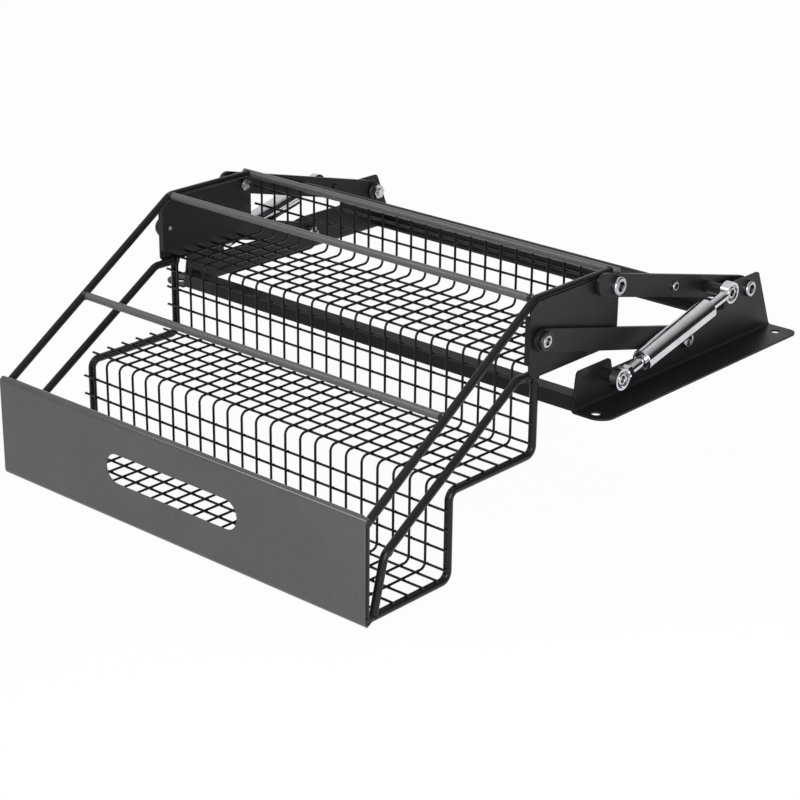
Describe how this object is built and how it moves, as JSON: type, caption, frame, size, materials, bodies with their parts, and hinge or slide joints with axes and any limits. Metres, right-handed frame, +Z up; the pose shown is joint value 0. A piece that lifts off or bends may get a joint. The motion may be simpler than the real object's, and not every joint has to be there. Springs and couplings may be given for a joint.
{
  "type": "pull-down lift basket",
  "caption": "Stepped wire-mesh basket that swings down on parallel arms with dampers out of a kitchen wall cabinet, held by two bolted side brackets.",
  "frame": {"origin": "centre of the four-bolt pattern on the underside of the bracket flanges", "axes": "+X to the right seen from the front, +Y to the back of the cabinet, +Z up, in the lowered position"},
  "size_m": [0.5616, 0.5618, 0.2333],
  "materials": {
    "black_steel": "satin black powder coat on sheet steel",
    "panel_grey": "satin dark grey powder coat",
    "rod_grey": "satin anthracite powder coat on round steel rod",
    "wire_black": "satin black powder coat on welded wire",
    "chrome": "polished chrome plate",
    "bright_steel": "bright zinc plated steel",
    "black_plastic": "moulded black plastic"
  },
  "bodies": {
    "base": {"left_bracket": "black_steel", "right_bracket": "black_steel", "front_crossbar": "black_steel", "rear_crossbar": "black_steel", "upper_pivot_bolts": "bright_steel", "lower_pivot_bolts": "bright_steel", "pivot_spacers": "black_steel", "upper_pivot_caps": "black_plastic", "upper_pivot_nuts": "bright_steel", "lower_pivot_nuts": "bright_steel", "bracket_damper_studs": "black_steel"},
    "upper_arms": {"left_upper_arm": "black_steel", "right_upper_arm": "black_steel", "torsion_tube": "black_steel", "tube_screws": "bright_steel", "arm_damper_studs": "black_steel", "arm_stud_screws": "bright_steel"},
    "basket": {"front_panel": "panel_grey", "panel_top_rod": "rod_grey", "panel_bottom_rod": "rod_grey", "panel_uprights": "rod_grey", "left_stair_rod": "rod_grey", "right_stair_rod": "rod_grey", "left_lower_rail": "rod_grey", "right_lower_rail": "rod_grey", "left_upper_rail": "rod_grey", "right_upper_rail": "rod_grey", "mid_cross_rod": "rod_grey", "top_cross_rod": "rod_grey", "mesh_top_rod": "rod_grey", "left_side_plate": "black_steel", "right_side_plate": "black_steel", "long_wires": "wire_black", "lower_tier_cross_wires": "wire_black", "lower_riser_cross_wires": "wire_black", "middle_tier_cross_wires": "wire_black", "upper_riser_cross_wires": "wire_black", "upper_tier_cross_wires": "wire_black", "rear_wall_cross_wires": "wire_black", "link_washers": "black_steel", "upper_link_bolts": "bright_steel", "upper_link_nuts": "bright_steel", "lower_link_bosses": "black_plastic", "lower_link_bolts": "bright_steel"},
    "left_lower_link": {"left_lower_arm": "black_steel"},
    "left_damper_cylinder": {"left_damper_tube": "chrome", "left_damper_guide": "chrome", "left_tube_eye": "chrome"},
    "left_damper_plunger": {"left_damper_rod": "chrome", "left_damper_piston": "bright_steel", "left_rod_eye": "chrome", "left_ear_screw": "bright_steel"},
    "right_lower_link": {"right_lower_arm": "black_steel"},
    "right_damper_cylinder": {"right_damper_tube": "chrome", "right_damper_guide": "chrome", "right_tube_eye": "chrome"},
    "right_damper_plunger": {"right_damper_rod": "chrome", "right_damper_piston": "bright_steel", "right_rod_eye": "chrome", "right_ear_screw": "bright_steel"}
  },
  "joints": [
    {"name": "arm_lift", "type": "hinge", "parent": "base", "child": "upper_arms", "pos_m": [0, 0.116, 0.0485], "axis": [-1, 0, 0], "range_deg": [0, 90]},
    {"name": "basket_level", "type": "hinge", "parent": "upper_arms", "child": "basket", "pos_m": [0, -0.08582, 0.09882], "axis": [-1, 0, 0], "range_deg": [-90, 0]},
    {"name": "left_lower_arm_swing", "type": "hinge", "parent": "base", "child": "left_lower_link", "pos_m": [-0.2365, 0.0152, 0.0238], "axis": [-1, 0, 0], "range_deg": [0, 90]},
    {"name": "left_damper_swing", "type": "hinge", "parent": "upper_arms", "child": "left_damper_cylinder", "pos_m": [-0.264, 0.05613, 0.06343], "axis": [-1, 0, 0], "range_deg": [-98, 0]},
    {"name": "left_damper_slide", "type": "slide", "parent": "left_damper_cylinder", "child": "left_damper_plunger", "axis": [0, -0.9748, -0.2232], "range_m": [0, 0.08488]},
    {"name": "right_lower_arm_swing", "type": "hinge", "parent": "base", "child": "right_lower_link", "pos_m": [0.2365, 0.0152, 0.0238], "axis": [-1, 0, 0], "range_deg": [0, 90]},
    {"name": "right_damper_swing", "type": "hinge", "parent": "upper_arms", "child": "right_damper_cylinder", "pos_m": [0.264, 0.05613, 0.06343], "axis": [-1, 0, 0], "range_deg": [-98, 0]},
    {"name": "right_damper_slide", "type": "slide", "parent": "right_damper_cylinder", "child": "right_damper_plunger", "axis": [0, -0.9748, -0.2232], "range_m": [0, 0.08488]}
  ],
  "couplings": [
    {"joint": "basket_level", "follows": "arm_lift", "ratio": -1},
    {"joint": "left_lower_arm_swing", "follows": "arm_lift", "ratio": 1},
    {"joint": "left_damper_swing", "follows": "arm_lift", "ratio": -1.0676},
    {"joint": "left_damper_slide", "follows": "arm_lift", "m_per_rad": 0.053718},
    {"joint": "right_lower_arm_swing", "follows": "arm_lift", "ratio": 1},
    {"joint": "right_damper_swing", "follows": "arm_lift", "ratio": -1.0676},
    {"joint": "right_damper_slide", "follows": "arm_lift", "m_per_rad": 0.053718}
  ]
}
